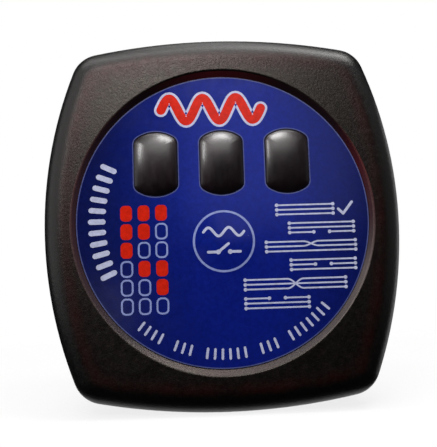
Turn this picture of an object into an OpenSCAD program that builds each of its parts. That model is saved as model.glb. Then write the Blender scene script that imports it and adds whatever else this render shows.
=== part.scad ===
// Plug-in outlet tester: a bulged square case with a round printed panel, three indicator
// windows, a trip-test button under the panel and a three-pin mains plug on its back.
//
// Every module draws with X to the right, Y up and Z out of the front, from the rear face that
// meets the outlet. upright() then stands the part up, so that +Z is up and the front faces -Y.

/* [Case outline] */
// Width across the bulged sides
body_w = 68; // [64:0.5:72]
// Height across the bulged ends
body_h = 71.4; // [68:0.2:75]
// Radius of the left and right sides
side_arc_r = 82; // [76:1:95]
// Radius of the top and bottom ends
end_arc_r = 126; // [115:1:145]
// Radius of the four corners
corner_r = 6; // [5.2:0.1:6]

/* [Case depths] */
// Depth from the rear face to the front face
body_d = 30; // [30:0.5:32]
// Height of the joint between the two covers above the rear face
parting_z = 13; // [12.5:0.1:13.5]
// Wall of the front cover
wall = 2.5; // [2.2:0.1:2.8]
// Radius of the front edge
edge_r = 4.6; // [3:0.2:4.6]
// Floor of the rear cover
floor_t = 2.5; // [2:0.1:2.8]

/* [Printed panel] */
// Radius of the recess at the front face
recess_r = 28.4; // [28:0.1:29]
// Depth of the recess
recess_d = 1.2; // [0.9:0.1:1.3]
// Radius of the panel
panel_r = 27.4; // [27:0.1:27.4]
// Thickness of the panel's film
film_t = 0.2; // [0.15:0.05:0.25]

/* [Indicator windows] */
// Distance between neighbouring windows
window_pitch = 12.4; // [11.6:0.1:12.6]
// Height of the windows above the panel's centre
window_y = 10.85; // [10.6:0.05:11]
// Width of a window
window_w = 8.3; // [7.8:0.1:8.4]
// Height of a window
window_h = 12.4; // [11.8:0.1:12.6]
// Height of a lens above the front face
lens_rise = 0.3; // [0:0.05:0.6]

/* [Trip button] */
// Height of the button above the panel's centre
button_y = -4.4; // [-4.8:0.1:-4.3]
// Radius of the button
button_r = 5.8; // [5:0.1:5.9]
// Travel of the button
button_travel = 0.35; // [0.25:0.05:0.4]
// Height of the panel's pillow over the button
pillow_h = 0.35; // [0.3:0.05:0.5]

/* [Mains plug] */
// Distance between the line and neutral pins
pin_pitch = 22.23; // [22.23]
// Distance from the line and neutral pins up to the earth pin
earth_rise = 22.23; // [22.23]
// Width of the line and neutral pins
pin_w = 6.35; // [6.35]
// Thickness of every pin
pin_t = 4; // [4]
// Length of the line and neutral pins
pin_l = 17.7; // [17.7]
// Width of the earth pin
earth_w = 8; // [8]
// Length of the earth pin
earth_l = 22.7; // [22.7]
// Length of the insulating sleeves outside the case
sleeve_l = 9.5; // [9.5]

/* [Hidden] */
$fn = 96;

// Finest roundness, for thin shells cut from large spheres
fine_fn = 256;
// Steps along each arc of the case's outline, and round its edges
arc_steps = 8;
edge_steps = 6;
// Overlap of cutting tools past the faces they cut
eps = 0.1;
// Gap between parts that slide together
gap = 0.1;

// Places of the panel, counted from the rear face
face_z = body_d;
panel_z = face_z - recess_d;
film_z = panel_z + film_t;
panel_wall = 2;
ceiling_z = panel_z - panel_wall;

// The recess's floor is a gap wider than the panel, and its wall slopes out to the front face
recess_floor_r = panel_r + gap;
recess_slope = (recess_r - recess_floor_r) / recess_d;

// Draft of the front cover's sides, and the rear cover's edge
side_draft = 0.5;
rear_edge_r = 3.2;

// Circuit board
board_t = 1.6;
board_top = 17;
board_bottom = board_top - board_t;
board_x = 26.5;
board_y = 28.5;
board_cut_x = 14.5;
board_cut_y = 12.5;

// Screws: places, radii and lengths
case_screw_x = 21.5;
case_screw_y = 25;
case_screw_r = 1.45;
case_head_r = 2.75;
case_seat_z = 6;
case_screw_l = 14;
board_screw_x = 22.5;
board_screw_y = 9;
board_screw_r = 1.1;
board_screw_l = 5;
retainer_screw_y = [3, -10];

// Light shroud and lens flanges
shroud_w = 37;
shroud_h = 15.4;
flange_t = 1;
flange_w = 10;
flange_h = 14;
shroud_top = ceiling_z - flange_t - gap;

// Indicator lamps
led_r = 2.5;
led_rim_r = 2.9;
led_rim_h = 1;
led_body_h = 6.1;
lead_w = 0.6;
lead_end = board_bottom - 1;
lead_pitch = 2.54;

// Button and its switch
button_hole_r = button_r + 0.15;
button_flange_r = 7;
pillow_r = 6.2;
pillow_sphere_r = (pow(pillow_r, 2) + pow(pillow_h, 2)) / (2 * pillow_h);
pillow_centre_z = film_z + pillow_h - pillow_sphere_r;
switch_w = 6;
switch_top = board_top + 3.2;
switch_plate_t = 0.3;
stem_r = 1.7;
stem_top = switch_top + 1.4;
stem_bottom = board_top + 1.75;
dome_r = 1.8;
dome_h = 0.5;
dome_z = board_top + 1.2;

// Plug pins: the pins' middle sits near the case's middle
earth_y = 13;
live_y = earth_y - earth_rise;
sleeve_t = 0.5;
shoulder_t = 2.5;
shoulder_z = floor_t + shoulder_t;
retainer_t = 2;
retainer_top = shoulder_z + retainer_t;
tail_w = 5;
tail_t = 1.2;
tail_top = 10;

// Parts on the board
trip_resistor_r = 2.5;
trip_resistor_l = 15;
trip_resistor_y = [22, -25];
trip_lead_x = 10;
small_part_x = 12;
small_lead_x = 5.08;
small_part_y = [-13.5, -17, -20.5];
wire_r = 0.8;
wire_core_r = 0.4;
wire_steps = 9;

// The wires start beside the pins' tails, just clear of the brass
wire_foot_z = retainer_top + wire_r + 0.4;
wire_foot_y = tail_t / 2 + wire_r + 0.05;

// ---- outline ----

function arc_points(centre, r, from, to, steps) = [
    for (i = [0:steps])
        let (t = from + (to - from) * i / steps) centre + r * [cos(t), sin(t)]
];
function tail_of(points) = [for (i = [1:len(points) - 1]) points[i]];

// The corner circle's centre, where the side and end arcs meet once both are moved inwards by d + r
function corner_centre(d, r) =
    let (
        p = side_arc_r - body_w / 2,
        q = end_arc_r - body_h / 2,
        u = side_arc_r - d - r,
        v = end_arc_r - d - r,
        l = norm([p, q]),
        t = (u * u - v * v + l * l) / (2 * l),
        h = sqrt(u * u - t * t)
    )
    [-p + (t * p + h * q) / l, (h * p - t * q) / l];

// One quarter of the case's outline, moved inwards by d
function quarter_outline(d) =
    let (
        r = max(corner_r - d, 0.8),
        p = side_arc_r - body_w / 2,
        q = end_arc_r - body_h / 2,
        c = corner_centre(d, r),
        a = atan2(c.y, c.x + p),
        b = atan2(c.y + q, c.x)
    )
    concat(
        arc_points([-p, 0], side_arc_r - d, 0, a, arc_steps),
        tail_of(arc_points(c, r, a, b, arc_steps)),
        tail_of(arc_points([0, -q], end_arc_r - d, b, 90, arc_steps))
    );

function outline(d) =
    let (q = quarter_outline(d), n = len(q) - 1)
    concat(
        q,
        [for (i = [n - 1:-1:0]) [-q[i].x, q[i].y]],
        [for (i = [1:n]) [-q[i].x, -q[i].y]],
        [for (i = [n - 1:-1:1]) [q[i].x, -q[i].y]]
    );

// ---- helpers ----

module upright() {
    rotate([90, 0, 0]) children();
}

module slab(inset, from, to) {
    translate([0, 0, from]) linear_extrude(to - from) polygon(outline(inset));
}

// A smooth convex block through slices, each [height, inset], from the lowest up
module lofted_block(slices) {
    skin = 0.01;
    bottom = slices[0][0];
    hull() for (s = slices) {
        low = s[0] == bottom ? bottom : s[0] - skin;
        slab(s[1], low, low + skin);
    }
}

module rod(r, from, to) {
    translate([0, 0, from]) cylinder(r = r, h = to - from);
}

module block(w, h, from, to) {
    translate([-w / 2, -h / 2, from]) cube([w, h, to - from]);
}

module at_corners(x, y) {
    for (sx = [-1, 1], sy = [-1, 1]) translate([sx * x, sy * y, 0]) children();
}

module at_windows() {
    for (i = [-1:1]) translate([i * window_pitch, window_y, 0]) children();
}

// A circle trimmed by two upright sides, the shape of a window
module window_prism(margin, from, to) {
    intersection() {
        rod(window_h / 2 + margin, from, to);
        block(window_w + 2 * margin, window_h + 4, from - eps, to + eps);
    }
}

// A flat pin with its tip chamfered on all four sides
module pin_blade(w, t, tip, top, cut) {
    profile = function (width) [
        [-width / 2, top], [width / 2, top], [width / 2, tip + cut],
        [width / 2 - cut, tip], [cut - width / 2, tip], [-width / 2, tip + cut]
    ];
    intersection() {
        rotate([90, 0, 0]) linear_extrude(t, center = true) polygon(profile(w));
        rotate([90, 0, 90]) linear_extrude(w, center = true) polygon(profile(t));
    }
}

// A pan-head screw that points along +Z, with its head's seat at the origin
module screw(shank_r, length, head_r, head_h) {
    tip_l = shank_r * 1.2;
    slot_w = head_r * 0.28;
    slot_l = head_r * 1.2;
    slot_d = head_h * 0.6;
    difference() {
        rotate_extrude() polygon([
            [0, -head_h], [head_r * 0.55, -head_h], [head_r * 0.9, -head_h * 0.6], [head_r, -head_h * 0.25],
            [head_r, 0], [shank_r, 0], [shank_r, length - tip_l], [shank_r * 0.2, length], [0, length]
        ]);
        for (turn = [0, 90]) rotate(turn) block(slot_l, slot_w, -head_h - eps, slot_d - head_h);
    }
}

// A part that lies along X on the board, with its two leads bent through the board
module axial_part(body_r, body_l, lead_x, axis_z, lead_to) {
    low = min(axis_z, lead_to) - (axis_z < lead_to ? lead_w / 2 : 0);
    high = max(axis_z, lead_to) + (axis_z < lead_to ? 0 : lead_w / 2);
    cap_l = body_l * 0.2;
    ease = body_r * 0.2;
    waist_r = body_r * 0.9;
    translate([-body_l / 2, 0, axis_z]) rotate([0, 90, 0]) rotate_extrude() polygon([
        [0, 0], [body_r - ease, 0], [body_r, ease], [body_r, cap_l],
        [waist_r, cap_l + ease], [waist_r, body_l - cap_l - ease],
        [body_r, body_l - cap_l], [body_r, body_l - ease], [body_r - ease, body_l], [0, body_l]
    ]);
    translate([-lead_x, -lead_w / 2, axis_z - lead_w / 2]) cube([2 * lead_x, lead_w, lead_w]);
    for (side = [-1, 1]) translate([side * lead_x, 0, 0]) block(lead_w, lead_w, low, high);
}

// A cubic curve between two points that leaves and arrives along Z
function wire_point(a, b, t) =
    let (reach = [0, 0, (b.z - a.z) * 0.55], u = 1 - t)
    u * u * u * a + 3 * u * u * t * (a + reach) + 3 * u * t * t * (b - reach) + t * t * t * b;

// An insulated wire from a to b whose bare core carries on through the board
module wire(a, b, core_end) {
    for (i = [0:wire_steps - 1]) hull() for (k = [i, i + 1])
        translate(wire_point(a, b, k / wire_steps)) sphere(wire_r, $fn = 10);
    translate(b) cylinder(r = wire_core_r, h = core_end - b.z, $fn = 10);
}

// ---- case ----

module front_cover() {
    boss_r = 3;
    standoff_r = 2.5;
    pilot_end = case_seat_z + case_screw_l + 2;
    round_slices = [
        for (i = [0:edge_steps])
            let (t = 90 * i / edge_steps) [face_z - edge_r * (1 - sin(t)), edge_r * (1 - cos(t))]
    ];
    color([0.13, 0.10, 0.10]) difference() {
        union() {
            difference() {
                lofted_block(concat([[parting_z, side_draft]], round_slices));
                slab(wall, parting_z - eps, ceiling_z);
            }
            at_corners(case_screw_x, case_screw_y) rod(boss_r, parting_z, ceiling_z + eps);
            at_corners(board_screw_x, board_screw_y) rod(standoff_r, board_top, ceiling_z + eps);
        }
        translate([0, 0, panel_z])
            cylinder(r1 = recess_floor_r, r2 = recess_r + eps * recess_slope, h = recess_d + eps);
        at_windows() window_prism(0.05, ceiling_z - eps, panel_z + eps);
        translate([0, button_y, 0]) rod(button_hole_r, ceiling_z - eps, panel_z + eps);
        at_corners(case_screw_x, case_screw_y) rod(case_screw_r + 0.03, parting_z - eps, pilot_end);
        at_corners(board_screw_x, board_screw_y)
            rod(board_screw_r + 0.03, board_top - eps, board_bottom + board_screw_l + 1);
    }
}

module rear_cover() {
    column_r = 4;
    lip_h = 1.4;
    lip_t = 1.2;
    post_r = 2.5;
    counterbore_r = case_head_r + 0.35;
    clearance_r = case_screw_r + 0.15;
    round_slices = [
        for (i = [0:edge_steps])
            let (t = 90 * i / edge_steps)
                [rear_edge_r * (1 - cos(t)), side_draft + 0.8 + rear_edge_r * (1 - sin(t))]
    ];
    color([0.07, 0.065, 0.07]) difference() {
        union() {
            difference() {
                union() {
                    lofted_block(concat(round_slices, [[parting_z, side_draft + 0.1]]));
                    slab(wall + 0.12, parting_z - eps, parting_z + lip_h);
                }
                slab(wall + 0.12 + lip_t, floor_t, parting_z + lip_h + eps);
            }
            at_corners(case_screw_x, case_screw_y) rod(column_r, 0.5, parting_z - 0.05);
            for (y = retainer_screw_y) translate([0, y, 0]) rod(post_r, floor_t - eps, shoulder_z);
        }
        at_corners(case_screw_x, case_screw_y) {
            rod(counterbore_r, -eps, case_seat_z);
            rod(clearance_r, case_seat_z - eps, parting_z + eps);
        }
        for (side = [-1, 1]) translate([side * pin_pitch / 2, live_y, 0])
            block(pin_w + gap, pin_t + gap, -eps, floor_t + eps);
        translate([0, earth_y, 0]) block(pin_t + gap, earth_w + gap, -eps, floor_t + eps);
        for (y = retainer_screw_y) translate([0, y, 0]) rod(board_screw_r + 0.03, 1.3, shoulder_z + eps);
    }
}

module label_overlay() {
    color([0.06, 0.10, 0.45]) {
        difference() {
            rod(panel_r, panel_z, film_z);
            at_windows() window_prism(0.05, panel_z - eps, film_z + eps);
            translate([0, button_y, 0]) rod(pillow_r - 0.05, panel_z - eps, film_z + eps);
        }
        translate([0, button_y, 0]) intersection() {
            difference() {
                translate([0, 0, pillow_centre_z]) sphere(pillow_sphere_r, $fn = fine_fn);
                translate([0, 0, pillow_centre_z - film_t]) sphere(pillow_sphere_r, $fn = fine_fn);
            }
            rod(pillow_r, panel_z - eps, film_z + 1);
        }
    }
}

module lens() {
    apex_z = face_z + lens_rise;
    dome_drop = 1.3;
    half_h = window_h / 2 - gap;
    dome_sphere_r = (pow(half_h, 2) + pow(dome_drop, 2)) / (2 * dome_drop);
    color([0.10, 0.07, 0.07, 0.9]) translate([0, window_y, 0]) {
        intersection() {
            window_prism(-gap, ceiling_z - 0.5, apex_z + eps);
            translate([0, 0, apex_z - dome_sphere_r]) sphere(dome_sphere_r);
        }
        block(flange_w, flange_h, ceiling_z - flange_t, ceiling_z - 0.02);
    }
}

module lens_left() translate([-window_pitch, 0, 0]) lens();
module lens_centre() lens();
module lens_right() translate([window_pitch, 0, 0]) lens();

// ---- board and lamps ----

module light_shroud() {
    bore_r = led_r + 0.15;
    color([0.08, 0.08, 0.08]) difference() {
        translate([0, window_y, 0]) block(shroud_w, shroud_h, board_top + 0.02, shroud_top);
        at_windows() {
            rod(bore_r, board_top - eps, shroud_top + eps);
            rod(led_rim_r + 0.15, board_top - eps, board_top + led_rim_h + 0.15);
            translate([0, 0, shroud_top - 2.2])
                cylinder(r1 = bore_r, r2 = flange_w / 2 - 0.6, h = 2.2 + eps);
        }
    }
}

module circuit_board() {
    hole_r = 0.5;
    color([0.10, 0.36, 0.16]) difference() {
        translate([0, 0, board_bottom]) linear_extrude(board_t) polygon([
            [board_x, board_cut_y], [board_cut_x, board_y], [-board_cut_x, board_y],
            [-board_x, board_cut_y], [-board_x, -board_cut_y], [-board_cut_x, -board_y],
            [board_cut_x, -board_y], [board_x, -board_cut_y]
        ]);
        at_corners(board_screw_x, board_screw_y)
            rod(board_screw_r + 0.2, board_bottom - eps, board_top + eps);
        for (p = board_holes()) translate([p.x, p.y, 0]) rod(hole_r, board_bottom - eps, board_top + eps);
    }
}

// Every lead's place on the board
function board_holes() = concat(
    [for (i = [-1:1], s = [-1, 1]) [i * window_pitch + s * lead_pitch / 2, window_y]],
    [for (y = trip_resistor_y, s = [-1, 1]) [s * trip_lead_x, y]],
    [for (y = small_part_y, x = [-1, 1], s = [-1, 1]) [x * small_part_x + s * small_lead_x, y]],
    [for (x = [-1, 1], y = [-1, 1]) [x * switch_leg_x(), button_y + y * switch_leg_y()]],
    [for (w = wire_ends()) [w.x, w.y]]
);
function switch_leg_x() = switch_w / 2 + lead_w / 2;
function switch_leg_y() = 2.25;
function wire_ends() = [[16, -3], [-16, -3], [13, 20.5]];

module led() {
    dome_z = board_top + led_body_h;
    color([0.75, 0.08, 0.06, 0.85]) translate([0, window_y, 0]) {
        rod(led_rim_r, board_top + 0.05, board_top + led_rim_h);
        intersection() {
            rod(led_r, board_top + 0.05, dome_z + led_r);
            union() {
                rod(led_r + 1, board_top, dome_z);
                translate([0, 0, dome_z]) sphere(led_r + 0.01);
            }
        }
        for (side = [-1, 1]) translate([side * lead_pitch / 2, 0, 0])
            block(lead_w, lead_w, lead_end, board_top + 0.5);
    }
}

module led_left() translate([-window_pitch, 0, 0]) led();
module led_centre() led();
module led_right() translate([window_pitch, 0, 0]) led();

module trip_resistor(y) {
    axis_z = board_bottom - trip_resistor_r - gap;
    color([0.45, 0.58, 0.62]) translate([0, y, 0])
        axial_part(trip_resistor_r, trip_resistor_l, trip_lead_x, axis_z, board_top + 0.6);
}

module trip_resistor_upper() trip_resistor(trip_resistor_y[0]);
module trip_resistor_lower() trip_resistor(trip_resistor_y[1]);

module led_resistors() {
    color([0.80, 0.68, 0.48]) for (y = small_part_y) translate([-small_part_x, y, 0])
        axial_part(1.2, 6.3, small_lead_x, board_top + 1.3, lead_end);
}

module led_diodes() {
    color([0.10, 0.10, 0.10]) for (y = small_part_y) translate([small_part_x, y, 0])
        axial_part(1.35, 5.2, small_lead_x, board_top + 1.45, lead_end);
}

// ---- trip button and switch ----

module trip_button() {
    cap_bottom = ceiling_z - gap - 1.1;
    color([0.12, 0.12, 0.13]) translate([0, button_y, 0]) {
        intersection() {
            rod(button_r, cap_bottom, film_z + 1);
            translate([0, 0, pillow_centre_z - film_t - 0.03]) sphere(pillow_sphere_r, $fn = fine_fn);
        }
        rod(button_flange_r, cap_bottom, ceiling_z - gap);
        rod(2, stem_top + 0.02, cap_bottom + 0.5);
    }
}

module switch_base() {
    color([0.10, 0.10, 0.11]) translate([0, button_y, 0]) {
        difference() {
            block(switch_w, switch_w, board_top + 0.02, switch_top);
            rod(2.15, dome_z, switch_top + eps);
        }
        at_corners(switch_leg_x(), switch_leg_y()) block(lead_w, lead_w, lead_end, board_top + 1.2);
    }
}

module switch_plate() {
    color([0.75, 0.75, 0.77]) translate([0, button_y, 0]) difference() {
        block(switch_w, switch_w, switch_top, switch_top + switch_plate_t);
        rod(stem_r + 0.1, switch_top - eps, switch_top + 1);
    }
}

module switch_stem() {
    collar_r = 2.05;
    color([0.85, 0.82, 0.74]) translate([0, button_y, 0]) {
        rod(stem_r, stem_bottom, stem_top);
        rod(collar_r, switch_top - 0.65, switch_top - 0.02);
    }
}

module snap_dome() {
    dome_t = 0.1;
    sphere_r = (pow(dome_r, 2) + pow(dome_h, 2)) / (2 * dome_h);
    centre_z = dome_z + dome_h - sphere_r;
    color([0.78, 0.78, 0.80]) translate([0, button_y, 0]) intersection() {
        difference() {
            translate([0, 0, centre_z]) sphere(sphere_r, $fn = fine_fn);
            translate([0, 0, centre_z]) sphere(sphere_r - dome_t, $fn = fine_fn);
        }
        rod(dome_r, dome_z + 0.02, dome_z + 1);
    }
}

// ---- plug ----

// A line or neutral pin: sleeved next to the case, shouldered inside it
module live_pin() {
    chamfer = 1.1;
    color([0.80, 0.66, 0.36]) translate([0, live_y, 0]) {
        pin_blade(pin_w, pin_t, -pin_l, -sleeve_l - 0.02, chamfer);
        block(pin_w - 2 * sleeve_t, pin_t - 2 * sleeve_t, -sleeve_l - eps, floor_t + eps);
        block(pin_w + 2, pin_t + 2, floor_t + 0.02, shoulder_z);
        block(tail_w, tail_t, shoulder_z - eps, tail_top);
    }
}

module pin_sleeve() {
    color([0.06, 0.06, 0.06]) translate([0, live_y, 0]) difference() {
        block(pin_w, pin_t, -sleeve_l, floor_t);
        block(pin_w - 2 * sleeve_t + 0.04, pin_t - 2 * sleeve_t + 0.04, -sleeve_l - eps, floor_t + eps);
    }
}

module line_pin() translate([pin_pitch / 2, 0, 0]) live_pin();
module neutral_pin() translate([-pin_pitch / 2, 0, 0]) live_pin();
module line_pin_sleeve() translate([pin_pitch / 2, 0, 0]) pin_sleeve();
module neutral_pin_sleeve() translate([-pin_pitch / 2, 0, 0]) pin_sleeve();

module earth_pin() {
    chamfer = 1.3;
    color([0.80, 0.66, 0.36]) translate([0, earth_y, 0]) {
        pin_blade(pin_t, earth_w, -earth_l, floor_t + eps, chamfer);
        block(pin_t + 2, earth_w + 2, floor_t + 0.02, shoulder_z);
        block(tail_w, tail_t, shoulder_z - eps, tail_top);
    }
}

module pin_retainer() {
    bar_w = 34;
    bar_h = 10.5;
    stalk_w = 11;
    stalk_top = 19.5;
    bar_bottom = live_y - bar_h / 2;
    color([0.20, 0.19, 0.18]) difference() {
        union() {
            translate([0, live_y, 0]) block(bar_w, bar_h, shoulder_z + 0.02, retainer_top);
            translate([-stalk_w / 2, bar_bottom, shoulder_z + 0.02])
                cube([stalk_w, stalk_top - bar_bottom, retainer_t - 0.02]);
        }
        for (p = [[pin_pitch / 2, live_y], [-pin_pitch / 2, live_y], [0, earth_y]]) translate(p)
            block(tail_w + 0.4, tail_t + 0.4, shoulder_z - eps, retainer_top + eps);
        for (y = retainer_screw_y) translate([0, y, 0])
            rod(board_screw_r + 0.2, shoulder_z - eps, retainer_top + eps);
    }
}

module wire_from(tail, end) {
    foot = [tail.x, tail.y + wire_foot_y, wire_foot_z];
    wire(foot, [end.x, end.y, board_bottom - wire_r - 0.02], board_top + 0.6);
}

module line_wire() color([0.42, 0.22, 0.10]) wire_from([pin_pitch / 2, live_y], wire_ends()[0]);
module neutral_wire() color([0.10, 0.30, 0.75]) wire_from([-pin_pitch / 2, live_y], wire_ends()[1]);
module earth_wire() color([0.35, 0.62, 0.14]) wire_from([0, earth_y], wire_ends()[2]);

// ---- fasteners ----

module case_screws() {
    color([0.62, 0.62, 0.64]) at_corners(case_screw_x, case_screw_y)
        translate([0, 0, case_seat_z - 0.02]) screw(case_screw_r, case_screw_l, case_head_r, 2);
}

module board_screws() {
    color([0.62, 0.62, 0.64]) at_corners(board_screw_x, board_screw_y)
        translate([0, 0, board_bottom - 0.02]) screw(board_screw_r, board_screw_l, 2, 1.4);
}

module retainer_screws() {
    color([0.62, 0.62, 0.64]) for (y = retainer_screw_y) translate([0, y, retainer_top + 0.02])
        mirror([0, 0, 1]) screw(board_screw_r, 5.5, 2, 1.4);
}

upright() front_cover();
upright() rear_cover();
upright() label_overlay();
upright() lens_left();
upright() lens_centre();
upright() lens_right();
upright() light_shroud();
upright() circuit_board();
upright() led_left();
upright() led_centre();
upright() led_right();
upright() trip_button();
upright() switch_base();
upright() switch_plate();
upright() switch_stem();
upright() snap_dome();
upright() line_pin();
upright() neutral_pin();
upright() earth_pin();
upright() line_pin_sleeve();
upright() neutral_pin_sleeve();
upright() pin_retainer();
upright() retainer_screws();
upright() line_wire();
upright() neutral_wire();
upright() earth_wire();
upright() trip_resistor_upper();
upright() trip_resistor_lower();
upright() led_resistors();
upright() led_diodes();
upright() board_screws();
upright() case_screws();
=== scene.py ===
"""The looks of the outlet tester: covers, windows, printed panel and finishes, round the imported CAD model.

Shapes are worked out in millimetres as (x, up, out): to the right, upwards, and out of the front, counted
from the middle of the rear face. world() turns such a point into the frame's metres."""
import math

import bmesh
import bpy
import numpy as np
from mathutils import Matrix, Vector
from mathutils.geometry import delaunay_2d_cdt

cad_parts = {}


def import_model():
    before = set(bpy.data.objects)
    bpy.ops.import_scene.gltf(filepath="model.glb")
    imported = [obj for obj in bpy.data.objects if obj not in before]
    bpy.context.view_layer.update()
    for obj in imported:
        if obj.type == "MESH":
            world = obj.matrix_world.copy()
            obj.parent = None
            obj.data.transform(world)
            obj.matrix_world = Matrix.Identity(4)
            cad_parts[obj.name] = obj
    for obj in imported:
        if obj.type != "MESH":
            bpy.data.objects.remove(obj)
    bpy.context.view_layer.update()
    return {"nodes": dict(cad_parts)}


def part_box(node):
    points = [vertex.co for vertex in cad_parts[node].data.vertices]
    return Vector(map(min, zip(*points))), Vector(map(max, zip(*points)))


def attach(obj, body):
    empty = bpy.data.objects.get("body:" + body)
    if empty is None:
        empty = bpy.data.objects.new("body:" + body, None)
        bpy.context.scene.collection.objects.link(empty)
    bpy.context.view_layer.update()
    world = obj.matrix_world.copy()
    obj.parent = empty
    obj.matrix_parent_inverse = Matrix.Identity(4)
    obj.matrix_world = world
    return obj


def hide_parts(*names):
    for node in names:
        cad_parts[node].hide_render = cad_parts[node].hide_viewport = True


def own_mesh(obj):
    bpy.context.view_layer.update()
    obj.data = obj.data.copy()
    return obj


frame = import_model()
MM = 0.001


# ---- sizes, from the frame ----

class Span:
    """The box that a CAD node fills, in millimetres."""

    def __init__(self, node):
        low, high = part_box(node)
        self.left, self.right = low.x / MM, high.x / MM
        self.bottom, self.top = low.z / MM, high.z / MM
        self.back, self.front = -high.y / MM, -low.y / MM
        self.x, self.up = (self.left + self.right) / 2, (self.bottom + self.top) / 2
        self.wide, self.tall = self.right - self.left, self.top - self.bottom


LENSES = ("lens_left", "lens_centre", "lens_right")
front = Span("front_cover")
rear = Span("rear_cover")
film = Span("label_overlay")
button = Span("trip_button")
case_screws = Span("case_screws")
board_screws = Span("board_screws")
retainer_screws = Span("retainer_screws")
board = Span("circuit_board")
dome = Span("snap_dome")
lenses = [Span(node) for node in LENSES]

# The case's outline: four flat arcs joined by tight corners
SIDE_ARC = 82
END_ARC = 126
CORNER = 6
LEAST_CORNER = 0.8

# The front cover
FRONT_ROUND = 4.6
SIDE_DRAFT = 0.5
WALL = 2.5
EASE = 0.15
# A narrow flat band beside the rounded edges keeps their shading off the flat
GUARD = 0.3
CEILING = 26.8
RECESS_R = 28.4
RIM_ROUND = 0.5
# The recess's rim is a touch narrower than it is tall
RIM_STRETCH = (0.99, 1.008)
BOSS_R = 3
STANDOFF_R = 2.5
PILOT_R = 1.48
SMALL_PILOT_R = 1.13

# The rear cover
REAR_ROUND = 3.2
REAR_DRAFT = 1.3
FLOOR = 2.5
COLUMN_R = 4
POST_R = 2.5
COUNTERBORE_R = 3.1
CLEARANCE_R = 1.6
HEAD_SEAT = 6
LIP_INSET = 2.62
LIP_WALL = 1.2
PIN_GAP = 0.05

# The printed film, with its ring set a little above the middle of the pillow
FILM_T = 0.2
film_top = film.back + FILM_T
recess_floor_r = film.right + 0.1
PILLOW_R = 6.2
RING_RISE = 0.35
pillow_h = film.front - film_top
ring_up = button.up + RING_RISE

# The snap dome's sheet
DOME_T = 0.1

# A window in the film and the cover, and the lens that fills it
WINDOW_W = 8.3
WINDOW_H = 12.4
WINDOW_CORNER = 1.6
LENS_GAP = 0.1
LENS_ROUND = 2.6
LENS_FLANGE_T = 1


def world(x, up, out):
    """A point in the row frame, in metres."""
    return Vector((x, -out, up)) * MM


# ---- flat outlines: arrays of (x, up) points ----

def arc(centre, radius, start, end, steps):
    """Points along an arc between two angles in degrees, ends included."""
    angles = np.radians(np.linspace(start, end, steps + 1))
    return np.column_stack((centre[0] + radius * np.cos(angles), centre[1] + radius * np.sin(angles)))


def circle(x, up, radius, steps=48):
    return arc((x, up), radius, 0, 360, steps)[:-1]


def four_fold(quarter):
    """A whole outline from its upper right quarter, which starts on the x axis and ends on the up axis."""
    half = np.vstack((quarter, (quarter * (-1, 1))[-2::-1]))
    return np.vstack((half, (half * (1, -1))[-2:0:-1]))


def case_outline(inset):
    """The case's outline moved inwards. Outlines with different insets match point by point."""
    steps = 14
    to_side, to_end = SIDE_ARC - front.right, END_ARC - front.top
    corner = max(CORNER - inset, LEAST_CORNER)
    from_side, from_end = SIDE_ARC - inset - corner, END_ARC - inset - corner
    base = math.hypot(to_side, to_end)
    along = (from_side**2 - from_end**2 + base**2) / (2 * base)
    off = math.sqrt(from_side**2 - along**2)
    x = -to_side + (along * to_side + off * to_end) / base
    up = (off * to_side - along * to_end) / base
    low_angle = math.degrees(math.atan2(up, x + to_side))
    high_angle = math.degrees(math.atan2(up + to_end, x))
    return four_fold(np.vstack((
        arc((-to_side, 0), SIDE_ARC - inset, 0, low_angle, steps),
        arc((x, up), corner, low_angle, high_angle, steps)[1:],
        arc((0, -to_end), END_ARC - inset, high_angle, 90, steps)[1:],
    )))


def barrel(width, height, end_r, corner, inset):
    """Upright sides joined by arched ends, moved inwards. Barrels match point by point."""
    steps = 8
    half_w, half_h, end_r = width / 2 - inset, height / 2 - inset, end_r - inset
    corner = max(min(corner - inset, half_w * 0.9), 0.02)
    end_up = half_h - end_r
    x = half_w - corner
    up = end_up + math.sqrt((end_r - corner)**2 - x**2)
    turn = math.degrees(math.atan2(up - end_up, x))
    side = np.column_stack((np.full(steps, half_w), np.linspace(0, up, steps, endpoint=False)))
    return four_fold(np.vstack((
        side,
        arc((x, up), corner, 0, turn, steps),
        arc((0, end_up), end_r, turn, 90, steps)[1:],
    )))


def window(inset=0.0):
    return barrel(WINDOW_W, WINDOW_H, WINDOW_H / 2, WINDOW_CORNER, inset)


def rectangle(width, height, corner=0.3, steps=3):
    x, up = width / 2 - corner, height / 2 - corner
    return four_fold(np.vstack((
        [(width / 2, 0)], arc((x, up), corner, 0, 90, steps), [(0, height / 2)],
    )))


def ribbon(path, width, steps=6):
    """The outline of a round-ended stroke along a path of points."""
    path = np.asarray(path, float)
    ahead = np.gradient(path, axis=0)
    ahead /= np.linalg.norm(ahead, axis=1)[:, None]
    side = np.column_stack((-ahead[:, 1], ahead[:, 0])) * width / 2
    last, first = np.degrees(np.arctan2(ahead[(-1, 0), 1], ahead[(-1, 0), 0]))
    return np.vstack((
        path - side,
        arc(path[-1], width / 2, last - 90, last + 90, steps)[1:-1],
        (path + side)[::-1],
        arc(path[0], width / 2, first + 90, first + 270, steps)[1:-1],
    ))


def inside(points, ring):
    """Which points lie inside a closed ring: a ray to their right crosses it an odd number of times."""
    x, up = points[:, 0, None], points[:, 1, None]
    x0, up0 = ring[:, 0], ring[:, 1]
    x1, up1 = np.roll(x0, -1), np.roll(up0, -1)
    crosses = (up0 > up) != (up1 > up)
    rise = np.where(up1 == up0, 1, up1 - up0)
    return (crosses & (x < x0 + (up - up0) * (x1 - x0) / rise)).sum(1) % 2 == 1


# ---- meshes ----

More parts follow.
